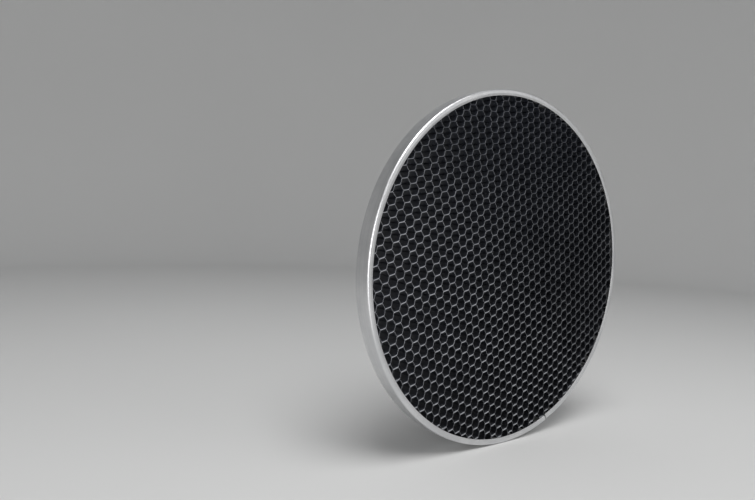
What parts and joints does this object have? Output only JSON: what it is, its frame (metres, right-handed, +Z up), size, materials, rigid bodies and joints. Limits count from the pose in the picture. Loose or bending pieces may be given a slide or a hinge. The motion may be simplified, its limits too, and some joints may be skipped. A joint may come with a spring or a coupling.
{
  "type": "honeycomb grid",
  "caption": "Round honeycomb light grid: an aluminium channel ring with a riveted seam holds a black core of bonded foil ribbons.",
  "frame": {"origin": "centre of the disc, halfway through its depth", "axes": "+Y along the disc's axis from the front to the rear face, +Z up; the front faces -Y"},
  "size_m": [0.27, 0.014, 0.27],
  "materials": {
    "ring": "satin, with fine lines along the roll-formed lips",
    "splice": "plain mill finish",
    "rivet": "plain, hammered flush",
    "foil": "black satin coating on aluminium foil"
  },
  "bodies": {
    "root": {"ring_channel": "ring", "splice_strip": "splice", "splice_rivets": "rivet", "foil_ribbons_01": "foil", "foil_ribbons_02": "foil", "foil_ribbons_03": "foil", "foil_ribbons_04": "foil", "foil_ribbons_05": "foil", "foil_ribbons_06": "foil", "foil_ribbons_07": "foil", "foil_ribbons_08": "foil", "foil_ribbons_09": "foil", "foil_ribbons_10": "foil", "foil_ribbons_11": "foil", "foil_ribbons_12": "foil", "foil_ribbons_13": "foil", "foil_ribbons_14": "foil", "foil_ribbons_15": "foil", "foil_ribbons_16": "foil", "foil_ribbons_17": "foil", "foil_ribbons_18": "foil", "foil_ribbons_19": "foil", "foil_ribbons_20": "foil", "foil_ribbons_21": "foil", "foil_ribbons_22": "foil", "foil_ribbons_23": "foil", "foil_ribbons_24": "foil", "foil_ribbons_25": "foil", "foil_ribbons_26": "foil", "foil_ribbons_27": "foil", "foil_ribbons_28": "foil", "foil_ribbons_29": "foil", "foil_ribbons_30": "foil", "foil_ribbons_31": "foil", "foil_ribbons_32": "foil", "foil_ribbons_33": "foil"}
  },
  "joints": []
}
